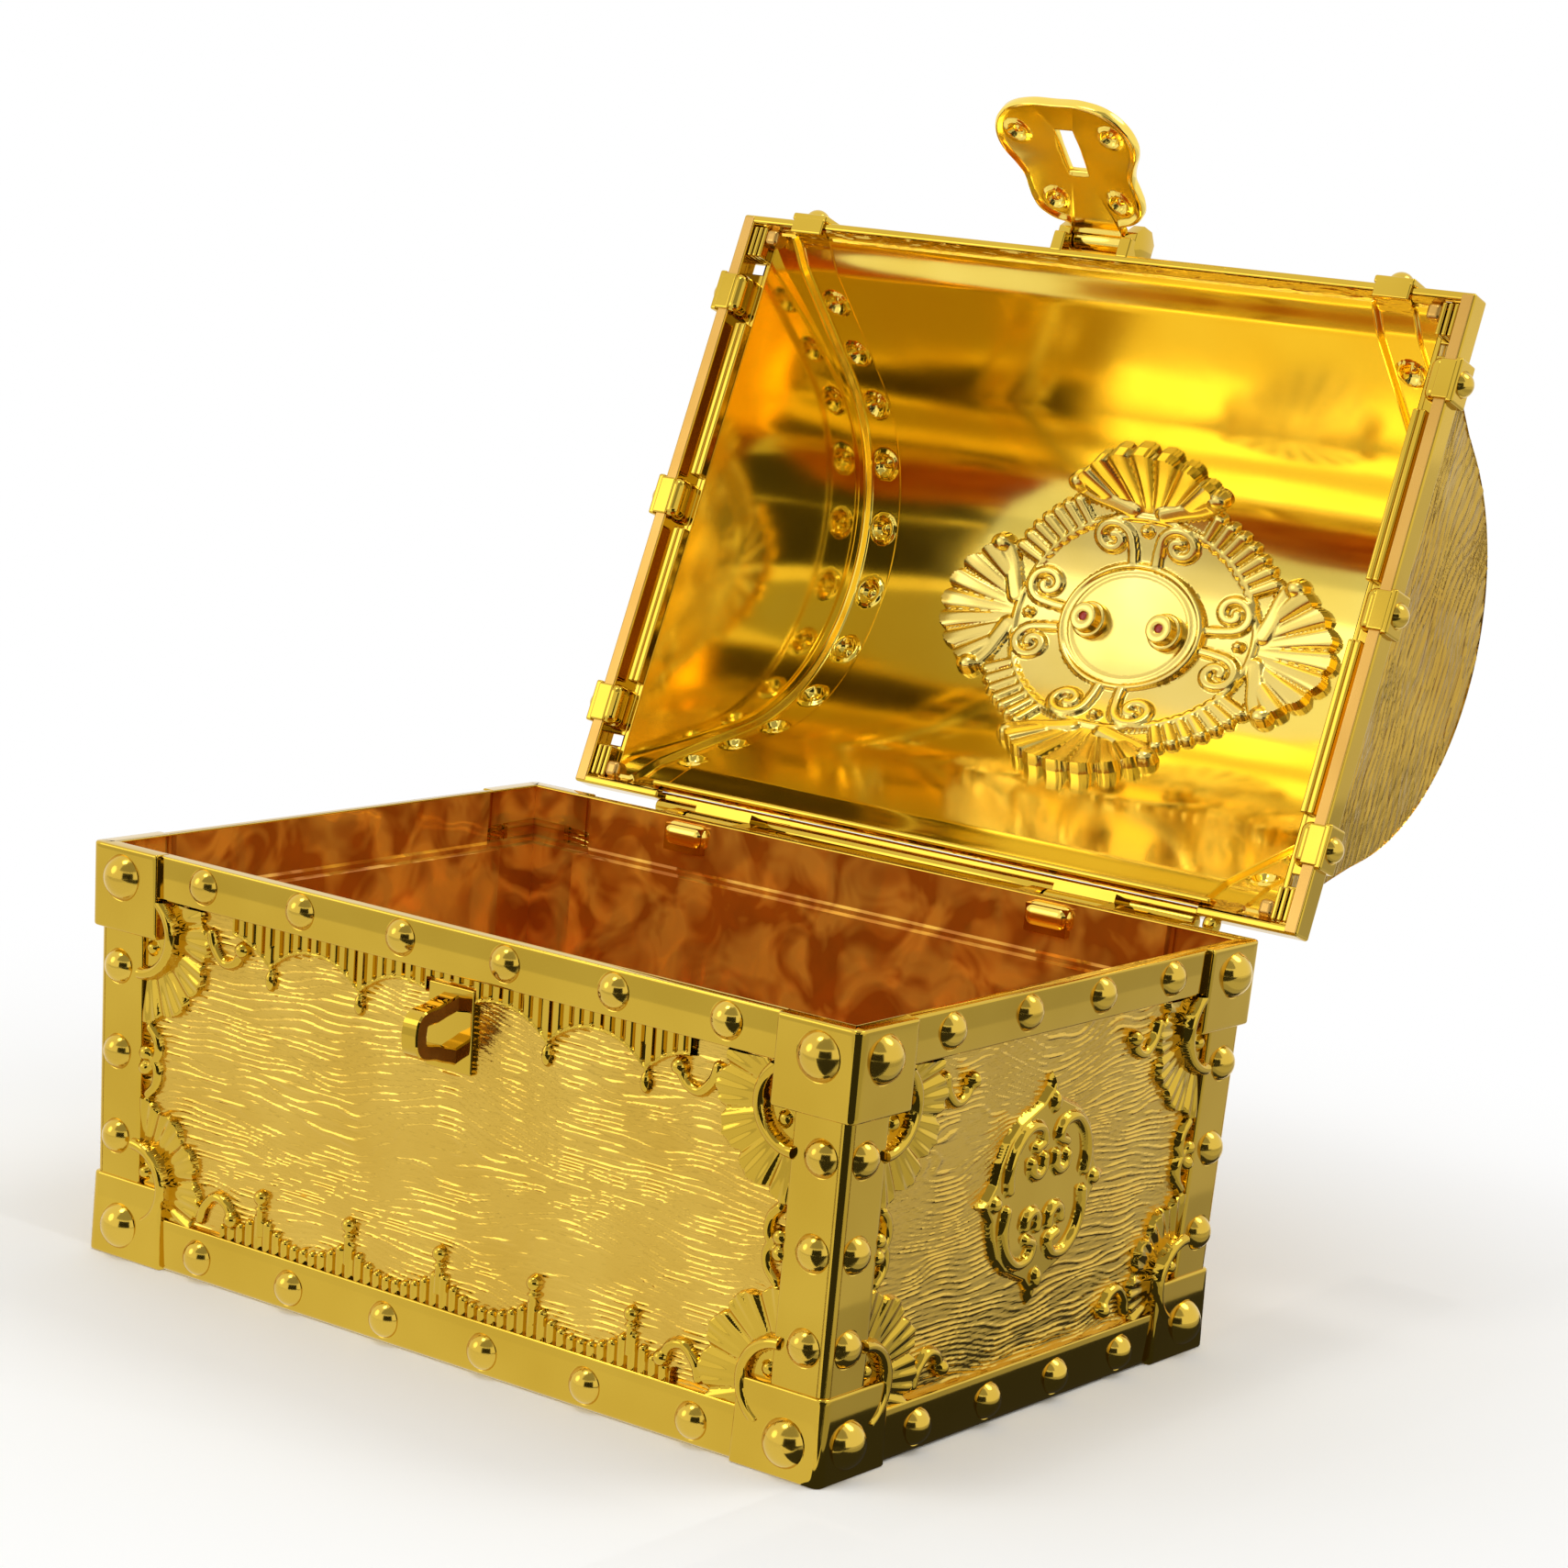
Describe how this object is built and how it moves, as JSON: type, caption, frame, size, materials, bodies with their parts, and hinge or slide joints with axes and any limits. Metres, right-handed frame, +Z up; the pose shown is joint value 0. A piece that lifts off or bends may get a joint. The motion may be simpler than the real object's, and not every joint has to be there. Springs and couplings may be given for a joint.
{
  "type": "treasure chest box",
  "caption": "Small treasure chest box with a drafted, banded and studded tub, a hinged barrel lid standing open, and a slotted hasp that closes over a staple.",
  "frame": {"origin": "middle of the flat underside, on the surface the chest stands on", "axes": "+X to the right along the front, +Y to the back where the hinges are, +Z up"},
  "size_m": [0.1558, 0.1998, 0.1936],
  "materials": {
    "plated_plastic": "bright gold metallised moulding",
    "red_stone": "clear red, polished"
  },
  "bodies": {
    "base": {"base_tub": "plated_plastic", "top_band": "plated_plastic", "bottom_band": "plated_plastic", "corner_posts": "plated_plastic", "upper_corner_caps": "plated_plastic", "lower_corner_caps": "plated_plastic", "band_studs": "plated_plastic", "post_studs": "plated_plastic", "corner_studs": "plated_plastic", "corner_fans": "plated_plastic", "front_top_fringe": "plated_plastic", "front_bottom_fringe": "plated_plastic", "side_plaque_left": "plated_plastic", "side_plaque_right": "plated_plastic", "staple": "plated_plastic", "hinge_bracket_left": "plated_plastic", "hinge_bracket_right": "plated_plastic", "hinge_pin_left": "plated_plastic", "hinge_pin_right": "plated_plastic"},
    "lid": {"lid_vault": "plated_plastic", "lid_end_left": "plated_plastic", "lid_end_right": "plated_plastic", "lid_rim": "plated_plastic", "lid_strap_left": "plated_plastic", "lid_strap_right": "plated_plastic", "strap_studs": "plated_plastic", "rim_clips": "plated_plastic", "clip_studs": "plated_plastic", "channel_ribs": "plated_plastic", "lid_knuckle_left": "plated_plastic", "lid_knuckle_right": "plated_plastic", "inner_crest": "plated_plastic", "crest_posts": "plated_plastic", "outer_crest": "plated_plastic", "jewel": "red_stone", "hasp_lugs": "plated_plastic", "hasp_pin": "plated_plastic"},
    "hasp": {"hasp_plate": "plated_plastic", "hasp_studs": "plated_plastic"}
  },
  "joints": [
    {"name": "lid_hinge", "type": "hinge", "parent": "base", "child": "lid", "pos_m": [0, 0.059, 0.063], "axis": [1, 0, 0], "range_deg": [0, 110]},
    {"name": "hasp_hinge", "type": "hinge", "parent": "lid", "child": "hasp", "pos_m": [0, 0.107, 0.16972], "axis": [1, 0, 0], "range_deg": [-140.8, 29]}
  ]
}
